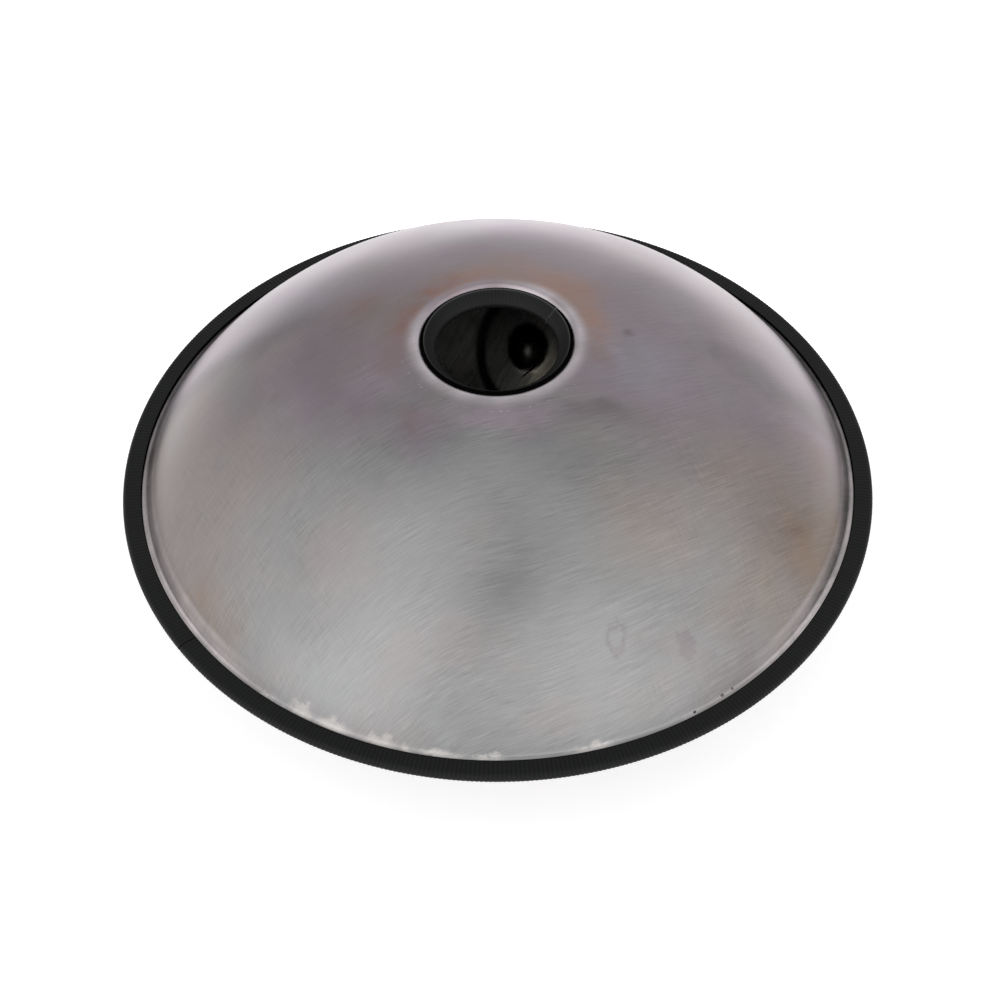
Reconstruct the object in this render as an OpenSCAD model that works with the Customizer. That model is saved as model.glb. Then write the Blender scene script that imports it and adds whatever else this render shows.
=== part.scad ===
// Handpan: two nitrided steel shells glued at the rim, with channel trim round the rim and the port.
// It lies on its playing side: the ding is underneath and the port faces up.
// Millimetres. Origin at the centre of the flat ding field, +Z up along the axis to the port.

/* [Shells] */
// thickness of the steel sheet
wall = 1.2; // [1:0.1:1.4]
// radius of the gentle crown of each dome
crown_r = 321; // [310:1:330]
// slope in degrees where the crown turns into the shoulder
crown_slope = 28; // [26:1:30]
// radius of the rounder shoulder outside the crown
shoulder_r = 267; // [258:1:276]
// slope in degrees where the shoulder meets the rim fillet
base_slope = 58; // [56:1:61]
// hollow fillet between each dome and its flange
fillet_r = 4.5; // [3.5:0.5:5.5]
// thickness of the glue line between the two flanges
bond_t = 0.2; // [0.1:0.1:0.4]

/* [Port] */
// distance from the axis at which the crown starts to roll into the port
port_roll_r = 57.6; // [52:0.2:66]
// outer radius of the rolled bend
bend_r = 6; // [4:0.5:7]
// slope in degrees of the lip that hangs down inside the port
lip_slope = 43; // [35:1:55]

/* [Edge trim] */
// depth of the channel section, from its open side to its rounded nose
trim_depth = 13.8; // [13:0.2:15]
// thickness of the channel section
trim_t = 7; // [6.5:0.5:8]
// depth of the slot that grips the sheet
slot_depth = 9.2; // [8.6:0.2:9.6]
// thickness of the steel clip strip inside the trim
core_t = 0.5; // [0.4:0.1:0.6]
// opening left between the ends of the rim trim
rim_joint_gap = 0.8; // [0.4:0.1:2]
// direction in degrees of the rim trim's joint
rim_joint_angle = 217.3; // [0:0.1:360]
// opening left between the ends of the port trim
port_joint_gap = 1.4; // [0.4:0.1:3]
// direction in degrees of the port trim's joint
port_joint_angle = 35.6; // [0:0.1:360]

/* [Tone fields] */
// number of tone fields round the ding
field_count = 8; // [6:1:9]
// direction in degrees of the smallest tone field
first_field_angle = 82.5; // [0:0.5:360]
// distance from the axis to the tone field centres
ring_r = 194; // [188:1:194]
// half width of the smallest tone field, across the radius
field_half_w = 41; // [38:1:44]
// half length of the smallest tone field, along the radius
field_half_l = 52; // [48:1:54]
// added to the half width from each tone field to the next larger one
field_step_w = 1.8; // [0:0.1:2]
// added to the half length from each tone field to the next larger one
field_step_l = 1.2; // [0:0.1:1.4]
// dimple size as a share of its tone field
dimple_share = 0.335; // [0.3:0.005:0.42]
// depth of each dimple below its tone field
dimple_depth = 6; // [4:0.5:7]

/* [Ding] */
// distance from the axis at which the crown starts to flatten into the ding field
ding_field_r = 92; // [86:1:98]
// radius of the soft edge of the ding field
ding_edge_r = 60; // [40:5:80]
// slope in degrees of the steepest part of the central dimple
ding_slope = 28; // [22:1:32]
// radius of the central dimple's bowl
ding_bowl_r = 62; // [54:1:68]
// radius of the round edge of the central dimple
ding_round_r = 8; // [5:1:10]

/* [Hidden] */
$fn = 180;
// overshoot that keeps cutting tools clear of the faces they cut through
over = 1;

// turn in degrees between neighbouring points of the large and the small arcs
large_step = 2;
small_step = 6;

// heights below are measured from the middle of the glue line
flange_low = bond_t / 2;
flange_top = flange_low + wall;
base_z = flange_top + fillet_r * (1 - cos(base_slope));
join_z = base_z + shoulder_r * (cos(crown_slope) - cos(base_slope));
crown_top = join_z + crown_r * (1 - cos(crown_slope));

// arc centres as [distance from axis, height]
crown_c = [0, crown_top - crown_r];
shoulder_c = crown_c + (crown_r - shoulder_r) * [sin(crown_slope), cos(crown_slope)];
base_r = shoulder_c[0] + shoulder_r * sin(base_slope);
fillet_c = [base_r + fillet_r * sin(base_slope), flange_top + fillet_r];

// the trim legs stop just outside the fillet
trim_setback = 0.6;
trim_start_r = fillet_c[0] + trim_setback;
// the sheet stops short of the bottom of the trim slot
slot_play = 0.4;
grip = slot_depth - slot_play;
flange_r = trim_start_r + grip;

// port roll and lip
roll_slope = asin(port_roll_r / crown_r);
bend_c = crown_c + (crown_r - bend_r) * [sin(roll_slope), cos(roll_slope)];
lip_n = [-sin(lip_slope), cos(lip_slope)];
lip_dir = [-cos(lip_slope), -sin(lip_slope)];
lip_setback = 0.3;
lip_len = lip_setback + grip;
lip_top = bend_c + bend_r * lip_n;
lip_mid = bend_c + (bend_r - wall / 2) * lip_n;
port_trim_at = lip_mid + lip_setback * lip_dir;

// ding field
ding_edge_slope = asin(ding_field_r / crown_r);
ding_edge_c = crown_c + (crown_r - ding_edge_r) * [sin(ding_edge_slope), cos(ding_edge_slope)];
rim_z = ding_edge_c[1] + ding_edge_r;
ding_round_c = [(ding_bowl_r + ding_round_r) * sin(ding_slope), rim_z - ding_round_r];
ding_bowl_c = [0, ding_round_c[1] + (ding_bowl_r + ding_round_r) * cos(ding_slope)];

// tone fields
ring_slope = asin((ring_r - shoulder_c[0]) / shoulder_r);
// radius of the dome's curve across the radius at the tone fields
ring_cross_r = ring_r / sin(ring_slope);
// the cutter for a tone field reaches this share of the field's own size, with this many sides
cutter_share = 1.15;
cutter_sides = 16;

// the trim's clip strip starts this far inside the ends of the legs and sits this far past the slot
core_inset = 1.5;
core_web_gap = 1;

// ---- arcs, with angles measured as slopes from level ----

function toward(slope) = [sin(slope), cos(slope)];

function arc(centre, r, from, to, step) =
    let (n = ceil(abs(to - from) / step))
    [for (i = [0 : n]) centre + r * toward(from + (to - from) * i / n)];

// ---- shell outlines, in the half plane right of the axis; inset 0 is the outside, wall the inside ----

// hollow fillet, from the dome down to the flange
function fillet(inset) = arc(fillet_c, fillet_r + inset, 180 + base_slope, 180, small_step);

function shoulder(inset) = arc(shoulder_c, shoulder_r - inset, crown_slope, base_slope, large_step);

function gu_side(inset) = concat(
    arc(bend_c, bend_r - inset, -lip_slope, roll_slope, small_step),
    arc(crown_c, crown_r - inset, roll_slope, crown_slope, large_step),
    shoulder(inset),
    fillet(inset)
);

function ding_side(inset) = concat(
    arc(ding_bowl_c, ding_bowl_r + inset, 180, 180 - ding_slope, small_step),
    arc(ding_round_c, ding_round_r - inset, -ding_slope, 0, small_step),
    arc(ding_edge_c, ding_edge_r - inset, 0, ding_edge_slope, large_step),
    arc(crown_c, crown_r - inset, ding_edge_slope, crown_slope, large_step),
    shoulder(inset)
);

function reversed(points) = [for (i = [len(points) - 1 : -1 : 0]) points[i]];

// where the shoulder ends, on the outside and on the inside
function shoulder_end(inset) = shoulder_c + (shoulder_r - inset) * toward(base_slope);

module gu_section() {
    polygon(concat(
        [lip_top + lip_len * lip_dir],
        gu_side(0),
        [[flange_r, flange_top], [flange_r, flange_low]],
        reversed(gu_side(wall)),
        [lip_top - wall * lip_n + lip_len * lip_dir]
    ));
}

// fillet and flange below the ding shell's shoulder
module rim_section() {
    polygon(concat(
        fillet(0),
        [[flange_r, flange_top], [flange_r, flange_low]],
        reversed(fillet(wall))
    ));
}

// ---- tone fields ----

// rank of a field by size: the smallest is first, and sizes grow down both sides to the opposite one
function field_rank(i) = i <= field_count / 2 ? max(0, 2 * i - 1) : 2 * (field_count - i);
function half_w(i) = field_half_w + field_step_w * field_rank(i);
function half_l(i) = field_half_l + field_step_l * field_rank(i);
// how far the middle of a field lies below the dome, so that it is flat across the radius
function sink(i) = half_w(i) * half_w(i) / (2 * ring_cross_r);
// radius of the slight curve a field keeps along the radius
function field_curve_r(i) = 1 / (1 / shoulder_r - 2 * sink(i) / (half_l(i) * half_l(i)));
// radius of a spherical hollow from its half width
function hollow_r(half) = (half * half + dimple_depth * dimple_depth) / (2 * dimple_depth);

// puts its children on the dome at a field's centre, with Z out of the surface and X down the slope
module at_field(i) {
    rotate([0, 0, first_field_angle + i * 360 / field_count])
        translate([shoulder_c[0], 0, shoulder_c[1]])
        rotate([0, ring_slope, 0])
        translate([0, 0, shoulder_r])
        children();
}

// everything above the flattened face of a field
module field_cutter(i, inset) {
    half_x = cutter_share * half_l(i);
    half_y = cutter_share * half_w(i);
    face_r = field_curve_r(i);
    floor_z = -sink(i) - inset - half_x * half_x / (2 * face_r) - over;
    difference() {
        translate([0, 0, floor_z])
            linear_extrude(over - floor_z)
            polygon([
                for (k = [0 : cutter_sides - 1])
                    let (turn = 360 * (k + 0.5) / cutter_sides)
                    [half_x * cos(turn), half_y * sin(turn)]
            ]);
        translate([0, 0, -sink(i) - face_r])
            rotate([90, 0, 0]) cylinder(r = face_r - inset, h = 4 * half_y, center = true);
    }
}

// oval hollow, longer down the slope than across it
module dimple_cutter(i, inset) {
    short_r = hollow_r(half_w(i) * dimple_share);
    long_r = hollow_r(half_l(i) * dimple_share);
    translate([0, 0, short_r - sink(i) - dimple_depth])
        rotate([0, 90, 0])
        rotate_extrude()
        intersection() {
            translate([short_r - long_r, 0]) circle(long_r + inset);
            translate([0, -2 * long_r]) square(4 * long_r);
        }
}

// solid dome inside the given outline, with its fields and dimples pressed in
module tone_side(inset, outline) {
    difference() {
        rotate_extrude() polygon(outline);
        for (i = [0 : field_count - 1]) at_field(i) field_cutter(i, inset);
        for (i = [0 : field_count - 1]) at_field(i) dimple_cutter(i, inset);
    }
}

// ---- edge trim, drawn with the slot opening at x = 0 and the nose pointing along +X ----

// distance from the middle of the trim to the inner face of the clip strip
function core_half(gap) = gap / 2 + ((trim_t - gap) / 2 - core_t) / 2;

module core_section(gap) {
    inner = core_half(gap);
    web_x = slot_depth + core_web_gap;
    difference() {
        translate([core_inset, -inner - core_t])
            square([web_x + core_t - core_inset, 2 * (inner + core_t)]);
        translate([core_inset - over, -inner])
            square([web_x - core_inset + over, 2 * inner]);
    }
}

module cover_section(gap) {
    difference() {
        union() {
            translate([0, -trim_t / 2]) square([trim_depth - trim_t / 2, trim_t]);
            translate([trim_depth - trim_t / 2, 0]) circle(d = trim_t);
        }
        translate([-over, -gap / 2]) square([slot_depth + over, gap]);
        core_section(gap);
    }
}

// sweeps a section round the axis, leaving a butt joint of the given width at the given radius
module ring_with_joint(joint_angle, joint_gap, at_r) {
    open = joint_gap / at_r * 180 / PI;
    translate([0, 0, rim_z])
        rotate([0, 0, joint_angle + open / 2])
        rotate_extrude(angle = 360 - open)
        children();
}

module on_rim() {
    ring_with_joint(rim_joint_angle, rim_joint_gap, flange_r)
        translate([trim_start_r, 0])
        children();
}

module on_port() {
    ring_with_joint(port_joint_angle, port_joint_gap, port_trim_at[0])
        translate(port_trim_at)
        rotate(180 + lip_slope)
        children();
}

// ---- the pieces ----

// lower shell, with the ding and the tone fields
module ding_shell() {
    outer_end = shoulder_end(0);
    inner_end = shoulder_end(wall);
    // both domes close below the shoulder, the inner one a little lower
    outer_low = inner_end[1] - over;
    inner_low = outer_low - over;
    color([0.56, 0.53, 0.52])
        translate([0, 0, rim_z])
        mirror([0, 0, 1]) {
            difference() {
                tone_side(0, concat(
                    ding_side(0),
                    [inner_end, [inner_end[0] - over, outer_low], [0, outer_low]]
                ));
                tone_side(wall, concat(
                    ding_side(wall),
                    [[inner_end[0] + over, inner_low], [0, inner_low]]
                ));
            }
            rotate_extrude() rim_section();
        }
}

// upper shell, with the port
module gu_shell() {
    color([0.60, 0.56, 0.55])
        translate([0, 0, rim_z])
        rotate_extrude() gu_section();
}

// glue line between the flanges
module rim_bond() {
    color([0.75, 0.70, 0.55])
        translate([0, 0, rim_z - bond_t / 2])
        rotate_extrude()
        translate([fillet_c[0], 0])
        square([flange_r - fillet_c[0], bond_t]);
}

module rim_trim() {
    color([0.14, 0.14, 0.14])
        on_rim() cover_section(bond_t + 2 * wall);
}

module rim_trim_core() {
    color([0.50, 0.51, 0.53])
        on_rim() core_section(bond_t + 2 * wall);
}

module port_trim() {
    color([0.14, 0.14, 0.14])
        on_port() cover_section(wall);
}

module port_trim_core() {
    color([0.50, 0.51, 0.53])
        on_port() core_section(wall);
}

ding_shell();
gu_shell();
rim_bond();
rim_trim();
rim_trim_core();
port_trim();
port_trim_core();
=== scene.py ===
"""Looks for the handpan: fine meshes and materials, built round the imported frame.

The instrument lies on its playing side with the port up. Sizes are in metres.
"""

import math

import bpy
import numpy as np
from mathutils import Matrix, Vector
from mathutils.geometry import tessellate_polygon


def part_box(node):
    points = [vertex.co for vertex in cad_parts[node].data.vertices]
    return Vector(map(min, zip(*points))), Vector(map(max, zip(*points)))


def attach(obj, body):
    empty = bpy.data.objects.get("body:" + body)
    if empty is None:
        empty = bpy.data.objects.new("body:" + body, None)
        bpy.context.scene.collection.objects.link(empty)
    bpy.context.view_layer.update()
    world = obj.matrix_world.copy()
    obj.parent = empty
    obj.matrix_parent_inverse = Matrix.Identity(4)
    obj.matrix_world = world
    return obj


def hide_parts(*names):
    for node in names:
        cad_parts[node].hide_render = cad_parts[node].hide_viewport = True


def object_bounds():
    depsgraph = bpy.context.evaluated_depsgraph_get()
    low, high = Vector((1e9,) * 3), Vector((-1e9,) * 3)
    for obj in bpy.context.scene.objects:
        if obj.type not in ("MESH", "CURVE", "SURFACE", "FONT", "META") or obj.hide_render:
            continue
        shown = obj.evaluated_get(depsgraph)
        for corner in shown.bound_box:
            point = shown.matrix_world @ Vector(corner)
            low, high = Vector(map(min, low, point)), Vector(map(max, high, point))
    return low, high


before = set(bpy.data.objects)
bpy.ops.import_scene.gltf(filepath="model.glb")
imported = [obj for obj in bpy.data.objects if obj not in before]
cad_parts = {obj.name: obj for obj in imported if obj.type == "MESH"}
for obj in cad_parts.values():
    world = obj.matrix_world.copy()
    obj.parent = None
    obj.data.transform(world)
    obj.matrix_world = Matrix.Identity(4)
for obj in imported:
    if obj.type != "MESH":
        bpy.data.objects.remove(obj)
cad_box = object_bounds()

# ---- sizes read from the frame ----

trim_low, trim_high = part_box("rim_trim")
bond_low, bond_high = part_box("rim_bond")
RIM_Z = (trim_low.z + trim_high.z) / 2
TRIM_T = trim_high.z - trim_low.z
RIM_R = trim_high.x
FLANGE_R = bond_high.x
BOND_T = bond_high.z - bond_low.z

# ---- driving sizes of the design, slopes in degrees from level ----

WALL = 0.0012
CROWN_R = 0.321
CROWN_SLOPE = 28
SHOULDER_R = 0.267
BASE_SLOPE = 58
FILLET_R = 0.0045

PORT_ROLL_R = 0.0576
BEND_R = 0.006
LIP_SLOPE = 43
LIP_SETBACK = 0.0003

TRIM_DEPTH = 0.0138
SLOT_DEPTH = 0.0092
SLOT_PLAY = 0.0004
CORE_T = 0.0005
CORE_INSET = 0.0015
CORE_WEB_GAP = 0.001
RIM_JOINT_GAP, RIM_JOINT_ANGLE = 0.0008, 217.3
PORT_JOINT_GAP, PORT_JOINT_ANGLE = 0.0014, 35.6

FIELD_COUNT = 8
FIRST_FIELD_ANGLE = 82.5
RING_R = 0.194
FIELD_HALF_W, FIELD_STEP_W = 0.041, 0.0018
FIELD_HALF_L, FIELD_STEP_L = 0.052, 0.0012
DIMPLE_SHARE = 0.335
DIMPLE_DEPTH = 0.006

DING_FIELD_R = 0.092
DING_EDGE_R = 0.060
DING_SLOPE = 28
DING_BOWL_R = 0.062
DING_ROUND_R = 0.008

# ---- places worked out from them, as [distance from axis, height above the rim's middle] ----


def toward(slope):
    """Unit vector that leans from straight up by slope degrees."""
    return np.array([math.sin(math.radians(slope)), math.cos(math.radians(slope))])


FLANGE_LOW = BOND_T / 2
FLANGE_TOP = FLANGE_LOW + WALL
BASE_H = FLANGE_TOP + FILLET_R * (1 - toward(BASE_SLOPE)[1])
JOIN_H = BASE_H + SHOULDER_R * (toward(CROWN_SLOPE)[1] - toward(BASE_SLOPE)[1])
CROWN_TOP = JOIN_H + CROWN_R * (1 - toward(CROWN_SLOPE)[1])
CROWN_C = np.array([0.0, CROWN_TOP - CROWN_R])
SHOULDER_C = CROWN_C + (CROWN_R - SHOULDER_R) * toward(CROWN_SLOPE)
BASE_R = SHOULDER_C[0] + SHOULDER_R * toward(BASE_SLOPE)[0]
FILLET_C = np.array([BASE_R + FILLET_R * toward(BASE_SLOPE)[0], FLANGE_TOP + FILLET_R])

ROLL_SLOPE = math.degrees(math.asin(PORT_ROLL_R / CROWN_R))
BEND_C = CROWN_C + (CROWN_R - BEND_R) * toward(ROLL_SLOPE)
LIP_OUT = toward(-LIP_SLOPE)
LIP_DOWN = np.array([-LIP_OUT[1], LIP_OUT[0]])
LIP_LENGTH = LIP_SETBACK + SLOT_DEPTH - SLOT_PLAY
LIP_TOP = BEND_C + BEND_R * LIP_OUT
PORT_TRIM_AT = BEND_C + (BEND_R - WALL / 2) * LIP_OUT + LIP_SETBACK * LIP_DOWN
RIM_TRIM_AT = np.array([RIM_R - TRIM_DEPTH, 0.0])

DING_EDGE_SLOPE = math.degrees(math.asin(DING_FIELD_R / CROWN_R))
DING_EDGE_C = CROWN_C + (CROWN_R - DING_EDGE_R) * toward(DING_EDGE_SLOPE)
DING_FACE_H = DING_EDGE_C[1] + DING_EDGE_R
DING_ARM = (DING_BOWL_R + DING_ROUND_R) * toward(DING_SLOPE)
DING_ROUND_C = np.array([DING_ARM[0], DING_FACE_H - DING_ROUND_R])
DING_BOWL_C = np.array([0.0, DING_ROUND_C[1] + DING_ARM[1]])

RING_SLOPE = math.asin((RING_R - SHOULDER_C[0]) / SHOULDER_R)
RING_CROSS_R = RING_R / math.sin(RING_SLOPE)

# ---- mesh fineness ----

SHELL_TURNS = 440
SHELL_SPACING = 0.0029
TIGHT_SPACING = 0.0007
INSIDE_SPACING = 0.006


# ---- outlines ----


def arc(centre, radius, start, end, spacing):
    """Points on an arc between two slopes, about spacing apart."""
    length = abs(math.radians(end - start)) * radius
    turn = np.radians(np.linspace(start, end, max(3, math.ceil(length / spacing)) + 1))
    return centre + radius * np.stack([np.sin(turn), np.cos(turn)], axis=1)


def straight(start, end, spacing):
    """Points between two others, leaving both out."""
    count = max(1, math.ceil(np.linalg.norm(np.subtract(end, start)) / spacing))
    share = np.linspace(0, 1, count + 1)[1:-1, None]
    return np.array(start) * (1 - share) + np.array(end) * share


def joined(*runs):
    """Runs of points as one outline, without doubled points."""
    points = np.concatenate([np.atleast_2d(run) for run in runs if len(run)])
    step = np.linalg.norm(np.diff(points, axis=0), axis=1)
    return points[np.concatenate([[True], step > 1e-7])]


def fillet(inset):
    return arc(FILLET_C, FILLET_R + inset, 180 + BASE_SLOPE, 180, TIGHT_SPACING)


def crown_and_shoulder(inset, from_slope, spacing):
    """The dome from a slope on its crown down to the rim fillet."""
    return joined(
        arc(CROWN_C, CROWN_R - inset, from_slope, CROWN_SLOPE, spacing),
        arc(SHOULDER_C, SHOULDER_R - inset, CROWN_SLOPE, BASE_SLOPE, spacing),
    )


def gu_side(inset, spacing):
    return joined(
        arc(BEND_C, BEND_R - inset, -LIP_SLOPE, ROLL_SLOPE, TIGHT_SPACING),
        crown_and_shoulder(inset, ROLL_SLOPE, spacing),
        fillet(inset),
    )


def ding_side():
    """The ding shell's outside, from the axis to the end of its fillet, drawn as if it faced up."""
    bowl = arc(DING_BOWL_C, DING_BOWL_R, 180, 180 - DING_SLOPE, SHELL_SPACING)
    edge = arc(DING_ROUND_C, DING_ROUND_R, -DING_SLOPE, 0, 2 * TIGHT_SPACING)
    start = DING_EDGE_C + [0, DING_EDGE_R]
    return joined(
        bowl,
        edge,
        straight(edge[-1], start, 2 * SHELL_SPACING),
        arc(DING_EDGE_C, DING_EDGE_R, 0, DING_EDGE_SLOPE, SHELL_SPACING),
        crown_and_shoulder(0, DING_EDGE_SLOPE, SHELL_SPACING),
        fillet(0),
    )


# ---- meshes ----


def revolved(outline, turns):
    """Grid of points [along the outline, round the axis, xyz] with heights left as they are."""
    turn = np.linspace(0, 2 * math.pi, turns, endpoint=False)
    r, h = outline[:, :1], outline[:, 1:]
    return np.stack([r * np.cos(turn), r * np.sin(turn), h + 0 * turn], axis=2)


def grid_faces(rows, columns, close_rows, close_columns, first=0):
    """Quads of a grid of points numbered row by row."""
    i = np.arange(rows if close_rows else rows - 1)[:, None]
    j = np.arange(columns if close_columns else columns - 1)[None, :]
    i2, j2 = (i + 1) % rows, (j + 1) % columns
    quads = np.stack([i * columns + j, i2 * columns + j, i2 * columns + j2, i * columns + j2], axis=-1)
    return (quads.reshape(-1, 4) + first).tolist()


def fan_faces(pole, ring, columns):
    """Triangles from a pole to a ring of a grid, whose first point has the number ring."""
    return [[pole, ring + j, ring + (j + 1) % columns] for j in range(columns)]


def enclosed_volume(points, faces):
    """Six times the volume inside triangles and quads, negative where they look inwards."""
    first = np.array([face[:3] for face in faces])
    second = np.array([[face[0], face[2], face[3]] for face in faces if len(face) == 4]).reshape(-1, 3)
    total = 0.0
    for corners in (first, second):
        a, b, c = (points[corners[:, k]] for k in range(3))
        total += np.einsum("ij,ij->i", a, np.cross(b, c)).sum()
    return total


def make_piece(name, points, faces, materials, slots=None, sharp=40):
    """A smooth-shaded object whose faces look outwards; slots gives each face's material."""
    points = points.reshape(-1, 3)
    if enclosed_volume(points, faces) < 0:
        faces = [face[::-1] for face in faces]
    mesh = bpy.data.meshes.new(name)
    mesh.from_pydata(points.tolist(), [], faces)
    for material in materials:
        mesh.materials.append(material)
    if slots is not None:
        mesh.polygons.foreach_set("material_index", np.array(slots, np.int32))
    mesh.polygons.foreach_set("use_smooth", np.ones(len(faces), bool))
    mesh.update()
    mesh.set_sharp_from_angle(angle=math.radians(sharp))
    piece = bpy.data.objects.new(name, mesh)
    bpy.context.scene.collection.objects.link(piece)
    return piece


# ---- hammered unevenness of the sheet ----

UNEVEN_DEPTH = 0.00022
UNEVEN_WAVES = 14
UNEVEN_LENGTHS = (0.035, 0.12)
UNEVEN_FADE = 0.03
# how far it stays off the port's roll and off the rim fillet, and the radius left even round the ding
PORT_MARGIN, RIM_MARGIN = 0.004, 0.006
EVEN_DING_R = 0.08
GU_SEED, DING_SEED = 5, 9


def smooth_step(low, high, value):
    share = np.clip((value - low) / (high - low), 0, 1)
    return share * share * (3 - 2 * share)


def unevenness(points, seed, inner_r, outer_r):
    """Small height differences left by the hammer, fading out at the two given radii."""
    draw = np.random.default_rng(seed)
    total = np.zeros(points.shape[:-1])
    for _ in range(UNEVEN_WAVES):
        length = draw.uniform(*UNEVEN_LENGTHS)
        heading, phase = draw.uniform(0, 2 * math.pi, 2)
        along = points[..., 0] * math.cos(heading) + points[..., 1] * math.sin(heading)
        total += length / UNEVEN_LENGTHS[1] * np.sin(2 * math.pi * along / length + phase)
    radius = np.hypot(points[..., 0], points[..., 1])
    fade = smooth_step(inner_r, inner_r + UNEVEN_FADE, radius)
    fade *= smooth_step(outer_r, outer_r - UNEVEN_FADE, radius)
    return UNEVEN_DEPTH * total / math.sqrt(UNEVEN_WAVES) * fade


def grid_normals(points):
    """Unit normals of a grid that closes round the axis, facing up and away from the axis."""
    along = np.gradient(points, axis=0)
    around = np.roll(points, -1, axis=1) - np.roll(points, 1, axis=1)
    normal = np.cross(along, around)
    normal /= np.maximum(np.linalg.norm(normal, axis=2, keepdims=True), 1e-12)
    return normal


# ---- upper shell ----


def make_gu_skin(materials):
    """Upper shell: dome, rolled port, hollow fillet and flange, as one closed sheet."""
    outside = joined(
        LIP_TOP + LIP_LENGTH * LIP_DOWN,
        straight(LIP_TOP + LIP_LENGTH * LIP_DOWN, LIP_TOP, SHELL_SPACING),
        gu_side(0, SHELL_SPACING),
        straight((FILLET_C[0], FLANGE_TOP), (FLANGE_R, FLANGE_TOP), SHELL_SPACING),
        (FLANGE_R, FLANGE_TOP),
    )
    under_lip = LIP_TOP - WALL * LIP_OUT
    inside = joined(
        (FLANGE_R, FLANGE_LOW),
        gu_side(WALL, INSIDE_SPACING)[::-1],
        under_lip + LIP_LENGTH * LIP_DOWN,
    )
    points = revolved(np.concatenate([outside, inside]), SHELL_TURNS)
    lift = unevenness(points, GU_SEED, PORT_ROLL_R + PORT_MARGIN, BASE_R - RIM_MARGIN)
    slope_out = np.sqrt(np.clip((points[..., 0] ** 2 + points[..., 1] ** 2) / CROWN_R**2, 0, 0.8))
    radius = np.hypot(points[..., 0], points[..., 1])
    points[..., 0] += lift * slope_out * points[..., 0] / radius
    points[..., 1] += lift * slope_out * points[..., 1] / radius
    points[..., 2] += lift * np.sqrt(1 - slope_out**2) + RIM_Z
    rows = len(outside) + len(inside)
    faces = grid_faces(rows, SHELL_TURNS, True, True)
    is_inside = np.repeat((np.arange(rows) >= len(outside)).astype(int), SHELL_TURNS)
    piece = make_piece("gu_skin", points, faces, materials, is_inside)
    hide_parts("gu_shell")
    return piece


# ---- lower shell ----

FIELD_BLEND = 0.0008
DIMPLE_BLEND = 0.0022
# how far from a field's centre pressing can reach, in half sizes
FIELD_REACH = 1.4
# points this far under the field's middle are on the dome's other side
FAR_SIDE_Z = -0.05
# the colour mark on a field's border, painted shade on the inside face: its width, and how far inside the
# border it lies
BORDER_WIDTH, BORDER_SHIFT = 0.0048, 0.0026


def field_rank(i):
    """0 for the smallest field; sizes grow down both sides to the opposite one."""
    return max(0, 2 * i - 1) if i <= FIELD_COUNT / 2 else 2 * (FIELD_COUNT - i)


def soft_lower(a, b, blend):
    """The lower of two heights, with the crease between them rounded off."""
    near = np.clip(1 - np.abs(a - b) / blend, 0, 1)
    return np.minimum(a, b) - near * near * blend / 4


def half_width_to_radius(half):
    return (half * half + DIMPLE_DEPTH**2) / (2 * DIMPLE_DEPTH)


def press_field(points, i):
    """Flattens one tone field into the dome and presses its oval dimple."""
    half_w = FIELD_HALF_W + FIELD_STEP_W * field_rank(i)
    half_l = FIELD_HALF_L + FIELD_STEP_L * field_rank(i)
    sink = half_w**2 / (2 * RING_CROSS_R)
    face_r = 1 / (1 / SHOULDER_R - 2 * sink / half_l**2)
    turn = math.radians(FIRST_FIELD_ANGLE + i * 360 / FIELD_COUNT)
    cos, sin = math.cos(turn), math.sin(turn)
    out = np.array([math.sin(RING_SLOPE) * cos, math.sin(RING_SLOPE) * sin, math.cos(RING_SLOPE)])
    side = np.array([-sin, cos, 0.0])
    down = np.cross(side, out)
    centre = np.array([SHOULDER_C[0] * cos, SHOULDER_C[0] * sin, SHOULDER_C[1]])
    local = points - centre
    x, y, z = local @ down, local @ side, local @ out - SHOULDER_R
    from_centre = np.hypot(x / half_l, y / half_w)
    this_side = z > FAR_SIDE_Z
    near = (from_centre < FIELD_REACH) & this_side
    face = -sink - face_r + np.sqrt(np.maximum(face_r**2 - x * x, 0))
    pressed = soft_lower(z, face, FIELD_BLEND)
    short_r = half_width_to_radius(half_w * DIMPLE_SHARE)
    long_r = half_width_to_radius(half_l * DIMPLE_SHARE)
    reach = short_r - long_r + np.sqrt(np.maximum(long_r**2 - x * x, 0))
    inside = (np.abs(y) < reach) & (reach > 0)
    hollow = short_r - sink - DIMPLE_DEPTH - np.sqrt(np.maximum(reach**2 - y * y, 0))
    pressed = np.where(inside, soft_lower(pressed, hollow, DIMPLE_BLEND), pressed)
    points += np.where(near, pressed - z, 0)[..., None] * out
    off_border = (from_centre - 1) * half_w + BORDER_SHIFT
    return np.where(this_side, np.exp(-((off_border / BORDER_WIDTH) ** 2)), 0)


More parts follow.
